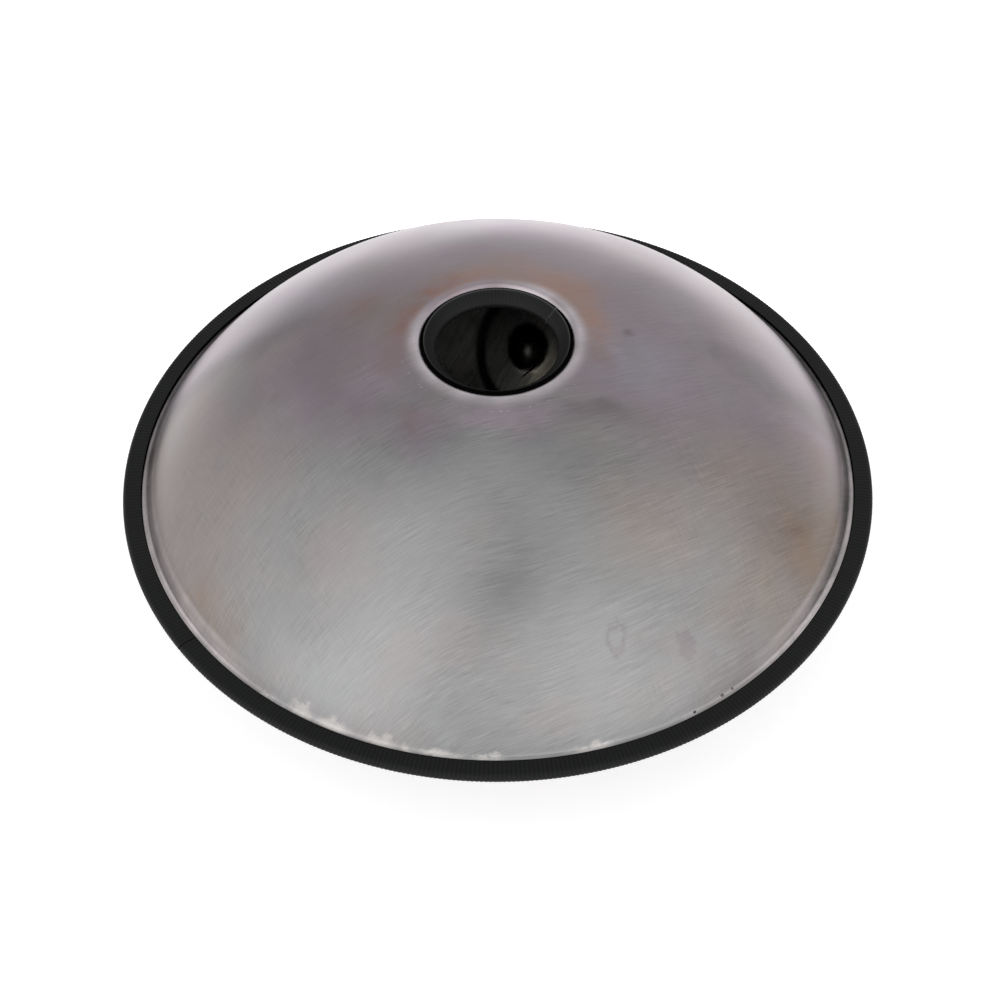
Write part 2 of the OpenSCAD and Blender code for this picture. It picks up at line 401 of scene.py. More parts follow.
def make_ding_skin(materials):
    """Lower shell: central ding, ring of tone fields, fillet and flange, as one closed sheet."""
    outline = ding_side()
    dome = revolved(outline[1:], SHELL_TURNS)
    border = np.max([press_field(dome, i) for i in range(FIELD_COUNT)], axis=0)
    lift = unevenness(dome, DING_SEED, EVEN_DING_R, BASE_R - RIM_MARGIN)
    dome += lift[..., None] * grid_normals(dome)
    inner = dome - WALL * grid_normals(dome)
    inner[-1, :, 2] = FLANGE_LOW
    pole_out, pole_in = outline[0, 1], outline[0, 1] - WALL
    rim = revolved(np.array([[FLANGE_R, FLANGE_TOP], [FLANGE_R, FLANGE_LOW]]), SHELL_TURNS)
    grid = np.concatenate([dome, rim, inner[::-1]])
    rows = len(grid)
    points = np.concatenate([grid.reshape(-1, 3), [[0, 0, pole_out], [0, 0, pole_in]]])
    points[:, 2] = RIM_Z - points[:, 2]
    count = rows * SHELL_TURNS
    faces = grid_faces(rows, SHELL_TURNS, False, True)
    faces += [face[::-1] for face in fan_faces(count, 0, SHELL_TURNS)]
    faces += fan_faces(count + 1, count - SHELL_TURNS, SHELL_TURNS)
    is_inside = (np.arange(rows - 1) > len(dome)).astype(int)
    slots = [np.repeat(is_inside, SHELL_TURNS), np.zeros(SHELL_TURNS), np.ones(SHELL_TURNS)]
    piece = make_piece("ding_skin", points, faces, materials, np.concatenate(slots))
    mark = np.zeros((rows, SHELL_TURNS))
    mark[:len(dome)] = border
    mark[-len(dome):] = border[::-1]
    attribute = piece.data.attributes.new("field_border", "FLOAT", "POINT")
    attribute.data.foreach_set("value", np.concatenate([mark.ravel(), [0, 0]]))
    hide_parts("ding_shell")
    return piece


# ---- edge trim ----

RIB_DEPTH = 0.00026
# depth of the groove at each of the points that draw one rib, starting in the groove
RIB_SHAPE = (1.0, 0.18, 0.0, 0.18)
RIM_RIBS = 570
PORT_RIBS = 112
LEG_END_R = 0.0006
CORE_RINGS = 240
# faces of the section that lie beside the steel and get the painted shade: both leg ends and the slot's
# walls
SHADED_FACES = [0, 1, 2, 3, -7, -6, -5, -4, -3, -1]


def trim_outline(gap):
    """Channel section: points, and which way and how far the ribs press each point in."""
    nose_x = TRIM_DEPTH - TRIM_T / 2
    half = TRIM_T / 2
    end = [
        [LEG_END_R * (1 - math.sin(turn)), half - LEG_END_R * (1 - math.cos(turn)), 0.0]
        for turn in np.linspace(math.pi / 2, 0, 4)
    ]
    leg = [[x, half, 1.0] for x in np.linspace(LEG_END_R, nose_x, 7)[1:-1]]
    nose = [
        [nose_x + half * math.sin(turn), half * math.cos(turn), 1.0]
        for turn in np.linspace(0, math.pi / 2, 7)
    ]
    upper = [[0.0, gap / 2, 0.0], *end, *leg, *nose]
    lower = [[x, -y, press] for x, y, press in upper[-2::-1]]
    slot = [[SLOT_DEPTH, -gap / 2, 0.0], [SLOT_DEPTH, gap / 2, 0.0]]
    section = np.array(upper + lower + slot)
    centre_x = np.minimum(section[:, 0], nose_x)
    inward = np.stack([centre_x - section[:, 0], -section[:, 1]], axis=1)
    inward /= np.maximum(np.linalg.norm(inward, axis=1, keepdims=True), 1e-9)
    return section[:, :2], inward * section[:, 2:]


def core_outline(gap):
    """Space that the clip strip fills inside the trim."""
    inner = gap / 2 + ((TRIM_T - gap) / 2 - CORE_T) / 2
    outer = inner + CORE_T
    web = SLOT_DEPTH + CORE_WEB_GAP
    right = [[CORE_INSET, inner], [CORE_INSET, outer], [web + CORE_T, outer]]
    upper = [[web, inner], *right]
    return np.array(upper + [[x, -y] for x, y in upper[::-1]])


def swept(section, place, heading, turn):
    """Grid of a section [along x, along y] carried round the axis through the given turns."""
    across = np.array([-heading[1], heading[0]])
    flat = place + section[..., :1] * heading + section[..., 1:] * across
    r, h = flat[..., 0], flat[..., 1]
    return np.stack([r * np.cos(turn), r * np.sin(turn), RIM_Z + h + 0 * turn], axis=-1)


def end_cap(points, loops, flip):
    """Triangles that close the end of the trim round the space for its clip strip."""
    flat = [[points[i] for i in loop] for loop in loops]
    numbers = [i for loop in loops for i in loop]
    faces = [[numbers[i] for i in face] for face in tessellate_polygon(flat)]
    centre = np.mean([points[i] for i in numbers], axis=0)
    sample = np.array([points[i] for i in faces[0]])
    normal = np.cross(sample[1] - sample[0], sample[2] - sample[0])
    along = np.array([-centre[1], centre[0], 0.0])
    if (normal @ along > 0) == flip:
        faces = [face[::-1] for face in faces]
    return faces


def make_trim(name, node, gap, place, heading, ribs, joint_angle, joint_gap, joint_r, materials):
    """Ribbed channel trim from one side of its butt joint round to the other."""
    open_turn = joint_gap / joint_r
    start = math.radians(joint_angle) + open_turn / 2
    length = 2 * math.pi - open_turn
    section, inward = trim_outline(gap)
    rings = ribs * len(RIB_SHAPE) + 1
    groove = np.tile(RIB_SHAPE, ribs + 1)[:rings] * RIB_DEPTH
    turn = start + length * np.linspace(0, 1, rings)
    shape = section[None] + groove[:, None, None] * inward[None]
    cover = swept(shape, place, heading, turn[:, None])
    core = core_outline(gap)
    core_turn = start + length * np.linspace(0, 1, CORE_RINGS)
    hollow = swept(np.repeat(core[None], CORE_RINGS, axis=0), place, heading, core_turn[:, None])
    points = np.concatenate([cover.reshape(-1, 3), hollow.reshape(-1, 3)])
    faces = grid_faces(rings, len(section), False, True)
    first = rings * len(section)
    faces += [face[::-1] for face in grid_faces(CORE_RINGS, len(core), False, True, first)]
    outer_loop = np.arange(len(section))
    inner_loop = first + np.arange(len(core))
    last_ring = (rings - 1) * len(section)
    last_core_ring = (CORE_RINGS - 1) * len(core)
    ends = [(outer_loop, inner_loop), (last_ring + outer_loop, last_core_ring + inner_loop)]
    outward = enclosed_volume(points, faces) > 0
    beside_steel = np.zeros(len(section), int)
    beside_steel[SHADED_FACES] = 1
    slots = np.tile(beside_steel, rings - 1)
    slots = np.concatenate([slots, np.zeros(len(faces) - len(slots))])
    for loops, is_last in zip(ends, (False, True)):
        faces += end_cap(points, loops, is_last != outward)
    slots = np.concatenate([slots, np.full(len(faces) - len(slots), 2)])
    piece = make_piece(name, points, [list(map(int, face)) for face in faces], materials, slots, sharp=50)
    depth = np.repeat(groove / RIB_DEPTH, len(section))
    depth = np.concatenate([depth, np.zeros(CORE_RINGS * len(core))])
    attribute = piece.data.attributes.new("groove", "FLOAT", "POINT")
    attribute.data.foreach_set("value", depth)
    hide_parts(node)
    return piece


# ---- shader graphs ----


class Nodes:
    """A node tree and short ways to add to it. Any value may be a number, a tuple or an output."""

    def __init__(self, tree):
        self.tree = tree
        tree.nodes.clear()

    def add(self, kind, **settings):
        node = self.tree.nodes.new(kind)
        for key, value in settings.items():
            setattr(node, key, value)
        return node

    def feed(self, socket, value):
        if isinstance(value, bpy.types.NodeSocket):
            self.tree.links.new(value, socket)
        elif isinstance(value, tuple) and len(value) < len(socket.default_value):
            socket.default_value = (*value, 1.0)
        else:
            socket.default_value = value

    def math(self, operation, a, b=0.0, c=0.0):
        node = self.add("ShaderNodeMath", operation=operation)
        for socket, value in zip(node.inputs, (a, b, c)):
            self.feed(socket, value)
        return node.outputs[0]

    def ramp(self, value, low, high, start=0.0, end=1.0):
        """start below low, end above high, with a smooth change between."""
        node = self.add("ShaderNodeMapRange", interpolation_type="SMOOTHSTEP")
        for socket, given in zip(node.inputs, (value, low, high, start, end)):
            self.feed(socket, given)
        return node.outputs[0]


class Graph(Nodes):
    """A material's nodes, with object coordinates at hand."""

    def __init__(self, name):
        self.material = bpy.data.materials.new(name)
        self.material.use_nodes = True
        super().__init__(self.material.node_tree)
        self.shader = self.add("ShaderNodeBsdfPrincipled")
        output = self.add("ShaderNodeOutputMaterial")
        self.feed(output.inputs["Surface"], self.shader.outputs[0])
        self.place = self.add("ShaderNodeTexCoord").outputs["Object"]
        self.x, self.y, self.z = self.parts(self.place)

    def mix(self, share, a, b, blend="MIX"):
        node = self.add("ShaderNodeMix", data_type="RGBA", blend_type=blend)
        self.feed(node.inputs[0], share)
        self.feed(node.inputs[6], a)
        self.feed(node.inputs[7], b)
        return node.outputs[2]

    def grey(self, value):
        node = self.add("ShaderNodeCombineColor")
        for socket in node.inputs:
            self.feed(socket, value)
        return node.outputs[0]

    def attribute(self, name):
        """A number kept with the mesh's points."""
        return self.add("ShaderNodeAttribute", attribute_name=name).outputs["Fac"]

    def parts(self, where):
        node = self.add("ShaderNodeSeparateXYZ")
        self.feed(node.inputs[0], where)
        return node.outputs

    def scaled(self, where, size, turn=0.0, shift=(0.0, 0.0, 0.0)):
        """Coordinates turned about Z and multiplied by size, one number per axis."""
        node = self.add("ShaderNodeMapping", vector_type="POINT")
        turned = self.add("ShaderNodeMapping", vector_type="POINT")
        self.feed(turned.inputs["Vector"], where)
        turned.inputs["Rotation"].default_value = (0.0, 0.0, math.radians(turn))
        self.feed(node.inputs["Vector"], turned.outputs[0])
        node.inputs["Scale"].default_value = size
        node.inputs["Location"].default_value = shift
        return node.outputs[0]

    def noise(self, where, scale, detail=3.0, roughness=0.5, distortion=0.0):
        node = self.add("ShaderNodeTexNoise")
        self.feed(node.inputs["Vector"], where)
        node.inputs["Scale"].default_value = scale
        node.inputs["Detail"].default_value = detail
        node.inputs["Roughness"].default_value = roughness
        node.inputs["Distortion"].default_value = distortion
        return node.outputs[0]

    def warped(self, amount, scale):
        """Object coordinates pushed about by noise, so that edges of patches wander."""
        node = self.add("ShaderNodeTexNoise")
        self.feed(node.inputs["Vector"], self.place)
        node.inputs["Scale"].default_value = scale
        node.inputs["Detail"].default_value = 3.0
        centred = self.add("ShaderNodeVectorMath", operation="SUBTRACT")
        self.feed(centred.inputs[0], node.outputs["Color"])
        centred.inputs[1].default_value = (0.5, 0.5, 0.5)
        push = self.add("ShaderNodeVectorMath", operation="MULTIPLY_ADD")
        self.feed(push.inputs[0], centred.outputs[0])
        push.inputs[1].default_value = (amount, amount, amount)
        self.feed(push.inputs[2], self.place)
        return push.outputs[0]

    def patch(self, where, at, reach, soft=0.6, squash=(1.0, 1.0), turn=0.0):
        """1 at a place seen from above, fading to 0 at reach; squash narrows it along its own axes."""
        angle = math.radians(turn)
        cos, sin = math.cos(angle), math.sin(angle)
        x, y = self.parts(where)[:2]
        dx = self.math("SUBTRACT", x, at[0])
        dy = self.math("SUBTRACT", y, at[1])
        u = self.math("MULTIPLY_ADD", dx, cos, self.math("MULTIPLY", dy, sin))
        v = self.math("MULTIPLY_ADD", dy, cos, self.math("MULTIPLY", dx, -sin))
        u = self.math("DIVIDE", u, squash[0])
        v = self.math("DIVIDE", v, squash[1])
        return self.ramp(self.length(u, v), reach * (1 - soft), reach, 1.0, 0.0)

    def length(self, x, y):
        return self.math("SQRT", self.math("MULTIPLY_ADD", x, x, self.math("MULTIPLY", y, y)))

    def radius(self):
        """Distance from the instrument's axis."""
        return self.length(self.x, self.y)

    def bump(self, height, strength, distance):
        node = self.add("ShaderNodeBump")
        node.inputs["Strength"].default_value = strength
        node.inputs["Distance"].default_value = distance
        self.feed(node.inputs["Height"], height)
        return node.outputs[0]

    def finish(self, colour, roughness=None, normal=None, **plain):
        """Joins the given outputs to the shader and sets its uniform values."""
        self.feed(self.shader.inputs["Base Color"], colour)
        if roughness is not None:
            self.feed(self.shader.inputs["Roughness"], roughness)
        if normal is not None:
            self.feed(self.shader.inputs["Normal"], normal)
        for socket, value in plain.items():
            self.shader.inputs[socket.replace("_", " ")].default_value = value
        return self.material


# ---- materials ----

NEUTRAL = (0.268, 0.268, 0.268)
MAUVE = (0.300, 0.253, 0.284)
WARM = (0.296, 0.262, 0.256)
BROWN = (0.306, 0.261, 0.240)
UMBER = (0.290, 0.198, 0.138)
RUST = (0.290, 0.185, 0.165)
ORANGE = (0.358, 0.240, 0.205)
GOLD = (0.335, 0.270, 0.195)
VIOLET = (0.262, 0.222, 0.252)
SLATE = (0.225, 0.230, 0.242)
DUSK = (0.215, 0.190, 0.203)
LILAC = (0.345, 0.292, 0.335)
MIST = (0.318, 0.295, 0.335)
PLUM = (0.270, 0.218, 0.255)
STRAW = (0.365, 0.340, 0.300)
PALE = (0.440, 0.415, 0.415)
CHALK = (0.520, 0.500, 0.485)
SOOT = (0.030, 0.027, 0.026)
# painted reflection on the steel beside the rim trim at the near edge, and painted highlights at both
# flanks
NEAR_EDGE_REFLECTION = (0.300, 0.303, 0.307)
FLANK_HIGHLIGHT = (0.660, 0.590, 0.600)
FLANK_HIGHLIGHT_BRIGHT = (0.860, 0.780, 0.790)
# painted highlight on the port's bend
BEND_HIGHLIGHT = (0.620, 0.575, 0.605)
# unbrushed inside: two tones of scale, stains, painted light where it is warmer, painted shade at the
# sides, painted dark reflection lines, painted shade on field borders
SCALE_DARK = (0.092, 0.093, 0.087)
SCALE_PALE = (0.125, 0.122, 0.118)
STAIN = (0.150, 0.128, 0.106)
INSIDE_GLOW = (0.290, 0.265, 0.215)
INSIDE_SHADE = (0.024, 0.024, 0.022)
DARK_REFLECTION_LINE = (0.003, 0.003, 0.003)
INSIDE_BORDER_SHADE = (0.004, 0.004, 0.004)
RUBBER = (0.0066, 0.0072, 0.0072)
RUBBER_DUST = (0.014, 0.014, 0.0135)
# painted shade in the rib grooves
RUBBER_GROOVE_SHADE = (0.0010, 0.0011, 0.0011)
# painted highlight on the port trim's outer edge, and painted light further down its lip
RUBBER_EDGE_HIGHLIGHT = (0.042, 0.042, 0.042)
RUBBER_LIT = (0.013, 0.013, 0.013)
# painted shade on rubber beside the steel, and a painted glint on the cut ends at the port trim's joint
PAINTED_SHADE_DARK, PAINTED_SHADE_PALE = (0.0010, 0.0010, 0.0010), (0.0025, 0.0024, 0.0022)
GLINT_DARK, GLINT_PALE = (0.080, 0.080, 0.080), (0.180, 0.180, 0.180)
GLUE, GLUE_CLOUD = (0.50, 0.38, 0.20), (0.62, 0.52, 0.34)
CLIP_DARK, CLIP_PALE = (0.36, 0.37, 0.39), (0.46, 0.47, 0.49)

# brush lines: how many there are per metre along, across and upwards
FINE_BRUSH = (75.0, 1500.0, 75.0)
BROAD_BRUSH = (34.0, 560.0, 34.0)
CROSS_BRUSH = (90.0, 1500.0, 90.0)
CROSS_TURN = 62.0


def brushing(g):
    """Fine short lines left by the abrasive, steeper towards both sides, coming and going."""
    x, y, z = g.parts(g.warped(0.0016, 60.0))
    climb = g.math("MULTIPLY_ADD", g.math("ABSOLUTE", x), 1.8, 0.20)
    across = g.math("SUBTRACT", y, g.math("MULTIPLY", x, climb))
    where = g.add("ShaderNodeCombineXYZ")
    for socket, value in zip(where.inputs, (x, across, z)):
        g.feed(socket, value)
    fine = g.noise(g.scaled(where.outputs[0], FINE_BRUSH), 1.0, 0.0)
    broad = g.noise(g.scaled(where.outputs[0], BROAD_BRUSH), 1.0, 0.0)
    crossing = g.noise(g.scaled(g.place, CROSS_BRUSH, CROSS_TURN), 1.0, 0.0)
    toward_right = g.ramp(g.x, 0.02, 0.12, 0.25, 0.6)
    ripple = g.math("MULTIPLY", g.math("SUBTRACT", broad, 0.5), toward_right)
    lines = g.math("ADD", ripple, g.math("SUBTRACT", fine, 0.5))
    toward_sides = g.ramp(g.math("ABSOLUTE", g.x), 0.05, 0.17, 0.2, 0.55)
    other = g.math("MULTIPLY", g.math("SUBTRACT", crossing, 0.5), toward_sides)
    spread = g.noise(g.scaled(g.place, (1.0, 1.0, 1.0), 30.0, (2.3, 0.4, 0.0)), 36.0, 2.0)
    off_port = g.ramp(g.y, -0.02, -0.10, 0.6, 1.0)
    amount = g.math("MULTIPLY", g.ramp(spread, 0.33, 0.66, 0.5, 1.0), off_port)
    return g.math("MULTIPLY", g.math("ADD", lines, other), amount)


def tinted_steel(name, tints):
    """Heat-coloured brushed steel; tints gives this shell's own colours."""
    g = Graph(name)
    colour = tints(g, g.warped(0.05, 14.0))
    mottled = g.noise(g.place, 20.0, 2.5, 0.5)
    colour = g.mix(g.ramp(mottled, 0.50, 0.66, 0.0, 0.35), colour, WARM)
    colour = g.mix(g.ramp(mottled, 0.48, 0.34, 0.0, 0.35), colour, NEUTRAL)
    lines = brushing(g)
    grain = g.math("SUBTRACT", g.noise(g.place, 1700.0, 1.0, 0.6), 0.5)
    cloud = g.noise(g.place, 17.0, 3.0, 0.5)
    shade = g.math("MULTIPLY_ADD", lines, 0.42, g.ramp(cloud, 0.3, 0.7, 0.95, 1.05))
    shade = g.math("MULTIPLY_ADD", grain, 0.22, shade)
    colour = g.mix(1.0, colour, g.grey(shade), "MULTIPLY")
    roughness = g.math("MULTIPLY_ADD", lines, 0.12, g.ramp(cloud, 0.3, 0.7, 0.33, 0.38))
    return g.finish(colour, roughness, g.bump(lines, 0.15, 0.00008), Metallic=1.0)


# grey place on the near slope: middle, reach, softness, squash
NEAR_GREY = ((-0.02, -0.170), 0.23, 0.5, (1.0, 0.72))
# painted highlight bands beside the rim trim: radius where each starts and is full, colour
RIM_HIGHLIGHT_BANDS = (
    (0.2455, 0.2480, FLANK_HIGHLIGHT),
    (0.2495, 0.2515, FLANK_HIGHLIGHT_BRIGHT),
)
# place seen from above, reach, colour, share
GU_PATCHES = (
    ((-0.010, 0.150), 0.085, PLUM, 0.90),
    ((-0.030, 0.195), 0.075, PLUM, 0.90),
    ((-0.115, 0.085), 0.060, MIST, 0.50),
    ((0.000, 0.100), 0.060, VIOLET, 0.35),
    ((0.090, 0.085), 0.050, MAUVE, 0.60),
    ((0.095, -0.015), 0.048, MIST, 0.75),
    ((-0.076, -0.028), 0.034, LILAC, 0.60),
    ((-0.155, -0.040), 0.040, STRAW, 0.30),
    ((-0.175, -0.010), 0.045, LILAC, 0.35),
    ((-0.135, -0.045), 0.040, MIST, 0.30),
    ((-0.098, -0.060), 0.042, PLUM, 0.80),
    ((-0.052, -0.078), 0.034, PLUM, 0.80),
    ((0.030, -0.080), 0.028, PLUM, 0.50),
    ((-0.040, -0.098), 0.042, SLATE, 0.35),
    ((0.045, -0.095), 0.042, SLATE, 0.40),
    ((-0.090, 0.031), 0.045, ORANGE, 0.35),
    ((-0.030, 0.058), 0.022, RUST, 0.60),
    ((-0.090, 0.034), 0.022, RUST, 0.35),
    ((0.056, 0.056), 0.030, ORANGE, 0.95),
    ((0.012, 0.077), 0.030, ORANGE, 0.45),
    ((0.040, 0.066), 0.024, ORANGE, 0.50),
    ((-0.066, -0.012), 0.020, RUST, 0.35),
    ((0.068, -0.012), 0.018, RUST, 0.40),
    ((-0.056, -0.070), 0.016, RUST, 0.25),
    ((-0.105, -0.145), 0.045, WARM, 0.60),
    ((0.085, -0.130), 0.050, BROWN, 0.50),
    ((0.110, -0.120), 0.050, BROWN, 0.30),
    ((-0.212, -0.150), 0.036, UMBER, 0.45),
    ((-0.180, -0.165), 0.024, UMBER, 0.20),
    ((0.228, -0.030), 0.040, UMBER, 0.30),
    ((0.236, -0.088), 0.042, UMBER, 0.75),
    ((0.205, -0.105), 0.034, UMBER, 0.45),
    ((0.185, -0.150), 0.024, GOLD, 0.60),
    ((0.155, -0.172), 0.034, BROWN, 0.50),
    ((0.160, -0.105), 0.024, MIST, 0.25),
    ((0.152, 0.017), 0.010, SLATE, 0.70),
    ((0.090, 0.012), 0.007, DUSK, 0.90),
)
# place, reach, how narrow, how it is turned, colour, share; the DUSK streaks are painted dark reflections
GU_STREAKS_AND_REFLECTIONS = (
    ((-0.190, 0.040), 0.090, 0.28, 10.0, DUSK, 0.85),
    ((0.190, 0.016), 0.080, 0.26, -4.0, DUSK, 0.85),
    ((0.000, -0.070), 0.066, 0.36, 0.0, LILAC, 0.90),
    ((0.070, -0.060), 0.028, 0.50, 25.0, DUSK, 0.80),
    ((0.028, -0.243), 0.040, 0.20, 6.0, BROWN, 0.35),
    ((0.095, -0.214), 0.040, 0.22, 24.0, BROWN, 0.70),
    ((0.048, -0.234), 0.050, 0.18, 10.0, BROWN, 0.40),
    ((0.062, -0.068), 0.030, 0.60, 20.0, DUSK, 0.65),
    ((-0.236, 0.030), 0.055, 0.50, 20.0, DUSK, 0.80),
    ((0.236, 0.020), 0.050, 0.45, -10.0, DUSK, 0.80),
)
# place, reach, how it is squashed and turned
SCUFFS = (
    ((-0.1865, -0.1738), 0.0060, 0.40, -47.0),
    ((-0.1510, -0.2060), 0.0200, 0.10, -36.0),
    ((-0.1300, -0.2162), 0.0110, 0.45, -31.0),
    ((-0.1085, -0.2290), 0.0150, 0.36, -25.0),
    ((-0.0770, -0.2410), 0.0130, 0.34, -18.0),
    ((-0.0600, -0.2460), 0.0060, 0.50, -14.0),
    ((-0.0360, -0.2508), 0.0200, 0.17, -8.0),
    ((-0.0070, -0.2535), 0.0150, 0.18, -2.0),
    ((0.0600, -0.2470), 0.0180, 0.26, 14.0),
)
# place, reach, share of it left clean in the middle, strength
SMUDGES = (
    ((0.076, -0.197), 0.011, 0.6, 0.60),
    ((0.122, -0.190), 0.010, 0.0, 0.60),
)
# dark specks: place, reach
SPECKS = (
    ((0.1280, -0.2185), 0.0014),
    ((0.1470, -0.2055), 0.0017),
    ((0.1540, -0.2002), 0.0013),
)


def gu_tints(g, wander):
    """Heat colours of the port side, from the broad zones down to single marks."""
    radius = g.radius()
    x, y = g.parts(wander)[:2]
    # mauve over the far slope, except low on the left
    not_left = g.math("MAXIMUM", g.ramp(x, -0.19, -0.13), g.ramp(y, 0.01, 0.05))
    colour = g.mix(g.math("MULTIPLY", g.ramp(y, -0.12, -0.02), not_left), WARM, MAUVE)
    # brown on the right of the near slope
    right = g.math("MULTIPLY", g.ramp(x, 0.10, 0.17), g.ramp(y, -0.02, -0.09))
    right = g.math("MULTIPLY", right, g.ramp(y, -0.205, -0.160))
    colour = g.mix(right, colour, BROWN)
    # bare grey in the middle of the near slope
    colour = g.mix(g.patch(wander, *NEAR_GREY), colour, NEUTRAL)
    for at, reach, hue, share in GU_PATCHES:
        colour = g.mix(g.math("MULTIPLY", g.patch(wander, at, reach, 0.9), share), colour, hue)
    # streaks of tint, and the DUSK ones as painted dark reflections
    for at, reach, squash, turn, hue, share in GU_STREAKS_AND_REFLECTIONS:
        mask = g.patch(wander, at, reach, 0.9, (1.0, squash), turn)
        colour = g.mix(g.math("MULTIPLY", mask, share), colour, hue)
    # painted reflection: paler along the near edge, over all of it
    near_reflection = g.math("MULTIPLY", g.ramp(radius, 0.215, 0.240), g.ramp(y, -0.110, -0.160))
    near_reflection = g.math("MULTIPLY", near_reflection, g.ramp(x, -0.175, -0.140))
    colour = g.mix(g.math("MULTIPLY", near_reflection, 0.55), colour, NEAR_EDGE_REFLECTION)
    return edge_highlights_and_marks(g, radius, port_heat_and_highlight(g, radius, x, y, colour))


def port_heat_and_highlight(g, radius, x, y, colour):
    """Rusty ring behind the port and a painted highlight on the bend round it."""
    beyond = g.ramp(y, -0.012, 0.015)
    ring = g.math("MULTIPLY", g.ramp(radius, 0.057, 0.061), g.ramp(radius, 0.066, 0.090, 1.0, 0.0))
    speckle = g.ramp(g.noise(g.place, 60.0, 5.0, 0.6), 0.36, 0.56, 0.5, 1.0)
    hue = g.mix(g.ramp(g.math("MULTIPLY_ADD", y, 0.5, x), 0.0, 0.04), RUST, ORANGE)
    colour = g.mix(g.math("MULTIPLY", g.math("MULTIPLY", ring, beyond), speckle), colour, hue)
    # painted highlight on the port's bend, weaker towards the far side
    bend_highlight = g.math("POWER", g.ramp(radius, 0.0560, 0.0690, 1.0, 0.0), 2.5)
    fading = g.ramp(g.math("MULTIPLY_ADD", x, -0.6, y), 0.030, 0.070, 0.8, 0.15)
    bend_highlight = g.math("MULTIPLY", bend_highlight, fading)
    return g.mix(bend_highlight, colour, BEND_HIGHLIGHT)


def edge_highlights_and_marks(g, radius, colour):
    """Painted highlights and scuffs beside the rim trim, finger smudges, specks and the flecks round the
    port.
    """
    rough = g.warped(0.010, 160.0)
    # painted highlights at both flanks
    flank = g.ramp(g.math("ABSOLUTE", g.x), 0.15, 0.215)
    for start, full, hue in RIM_HIGHLIGHT_BANDS:
        # painted highlight bands on the fillet
        rolled = g.math("MULTIPLY", g.ramp(radius, start, full), flank)
        colour = g.mix(g.math("MULTIPLY", rolled, 0.55), colour, hue)
    # painted highlight against the trim, patchy, stronger to the left and the right
    share = g.math("MAXIMUM", g.ramp(g.x, -0.01, -0.09, 0.1, 0.5), g.ramp(g.x, 0.08, 0.20, 0.0, 0.9))
    highlight_share = g.ramp(g.noise(rough, 45.0, 2.0), 0.35, 0.60, 0.25, 1.0)
    band = g.math("MULTIPLY", g.ramp(radius, 0.2500, 0.2525), g.math("MULTIPLY", share, highlight_share))
    colour = g.mix(band, colour, PALE)
    for at, reach, squash, turn in SCUFFS:
        mark = g.patch(rough, at, reach, 0.7, (1.0, squash), turn)
        colour = g.mix(g.math("MULTIPLY", mark, 0.9), colour, CHALK)
    for at, reach, hole, share in SMUDGES:
        mark = g.patch(rough, at, reach, 0.5, (0.75, 1.0))
        if hole:
            mark = g.math("SUBTRACT", mark, g.patch(rough, at, reach * hole, 0.5, (0.75, 1.0)))
        colour = g.mix(g.math("MULTIPLY", mark, share), colour, DUSK)
    for at, reach in SPECKS:
        colour = g.mix(g.patch(g.place, at, reach, 0.4, (1.0, 0.6), 35.0), colour, SOOT)
    # pale flecks on a thin ring round the port, on its near side
    flecks = g.math("MULTIPLY", g.ramp(radius, 0.0655, 0.0660), g.ramp(radius, 0.0668, 0.0673, 1.0, 0.0))
    flecks = g.math("MULTIPLY", flecks, g.ramp(g.noise(g.place, 600.0, 1.0), 0.60, 0.68))
    return g.mix(g.math("MULTIPLY", flecks, g.ramp(g.y, 0.0, -0.03, 0.1, 0.6)), colour, CHALK)


def ding_tints(g, wander):
    """Heat colours of the playing side: each tone field is a little cooler than the steel round it."""
    radius = g.radius()
    colour = g.mix(g.ramp(g.parts(wander)[0], -0.12, 0.12), WARM, BROWN)
    ring = g.math("MULTIPLY", g.ramp(radius, 0.13, 0.15), g.ramp(radius, 0.225, 0.245, 1.0, 0.0))
    colour = g.mix(g.math("MULTIPLY", ring, 0.7), colour, NEUTRAL)
    ding = g.ramp(radius, 0.03, 0.10, 1.0, 0.0)
    colour = g.mix(g.math("MULTIPLY", ding, 0.6), colour, RUST)
    between = g.ramp(g.noise(wander, 9.0, 3.0), 0.42, 0.62, 0.0, 0.5)
    colour = g.mix(between, colour, VIOLET)
    border = g.attribute("field_border")
    return g.mix(g.math("MULTIPLY", border, 0.45), colour, DUSK)


# painted light inside the playing side, where the light through the port falls: middle, reach
INSIDE_GLOW_AT = ((0.046, 0.163), 0.032)
# painted dark reflections there, as thin lines: place, half length, direction
DARK_REFLECTION_LINES = (
    ((0.0310, 0.1908), 0.0130, 3.0),
    ((0.0260, 0.1750), 0.0100, 27.0),
)


